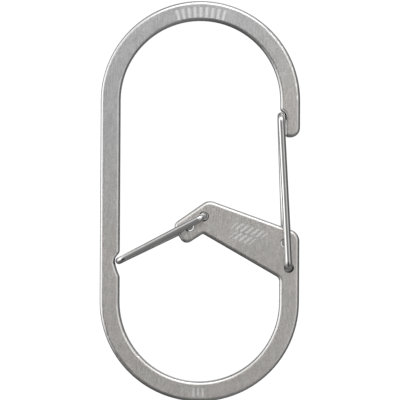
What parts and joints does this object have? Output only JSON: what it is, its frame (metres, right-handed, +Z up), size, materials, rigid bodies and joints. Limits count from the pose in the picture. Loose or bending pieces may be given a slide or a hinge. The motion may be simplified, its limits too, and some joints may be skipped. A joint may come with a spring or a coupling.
{
  "type": "carabiner keyring",
  "caption": "Flat G-shaped steel carabiner keyring: a slanted crossbar splits it into chambers, each closed by a bent spring-wire gate on offset pivot holes.",
  "frame": {"origin": "crest of the inner top arc, on the plate's middle plane, where a belt loop or ring carries it", "axes": "+Z up along the plate's length, -Y out of the front face, +X towards the long gate's side"},
  "size_m": [0.031, 0.0046, 0.0622],
  "materials": {
    "plate_steel": "tumbled satin, finely brushed along its length",
    "gate_wire": "bright drawn spring wire, electropolished"
  },
  "bodies": {
    "plate": {"plate": "plate_steel"},
    "long_gate_front": {"long_gate_front_leg": "gate_wire"},
    "long_gate_rear": {"long_gate_rear_leg": "gate_wire"},
    "short_gate_front": {"short_gate_front_leg": "gate_wire"},
    "short_gate_rear": {"short_gate_rear_leg": "gate_wire"}
  },
  "joints": [
    {"name": "long_gate_open", "type": "hinge", "parent": "plate", "child": "long_gate_front", "pos_m": [0.01388, 0, -0.03829], "axis": [0, -1, 0], "range_deg": [0, 22], "stiffness_Nm_per_rad": 0.08, "springref_deg": -17.19},
    {"name": "long_gate_twist", "type": "hinge", "parent": "long_gate_front", "child": "long_gate_rear", "pos_m": [0.01252, 0, -0.01468], "axis": [0, -1, 0], "range_deg": [0, 7]},
    {"name": "short_gate_open", "type": "hinge", "parent": "plate", "child": "short_gate_front", "pos_m": [0.00062, 0, -0.03036], "axis": [0, -1, 0], "range_deg": [0, 27], "stiffness_Nm_per_rad": 0.06, "springref_deg": -17.19},
    {"name": "short_gate_twist", "type": "hinge", "parent": "short_gate_front", "child": "short_gate_rear", "pos_m": [-0.01252, 0, -0.03735], "axis": [0, -1, 0], "range_deg": [0, 10]}
  ],
  "couplings": [
    {"joint": "long_gate_twist", "follows": "long_gate_open", "ratio": 0.193},
    {"joint": "short_gate_twist", "follows": "short_gate_open", "ratio": 0.2256}
  ]
}
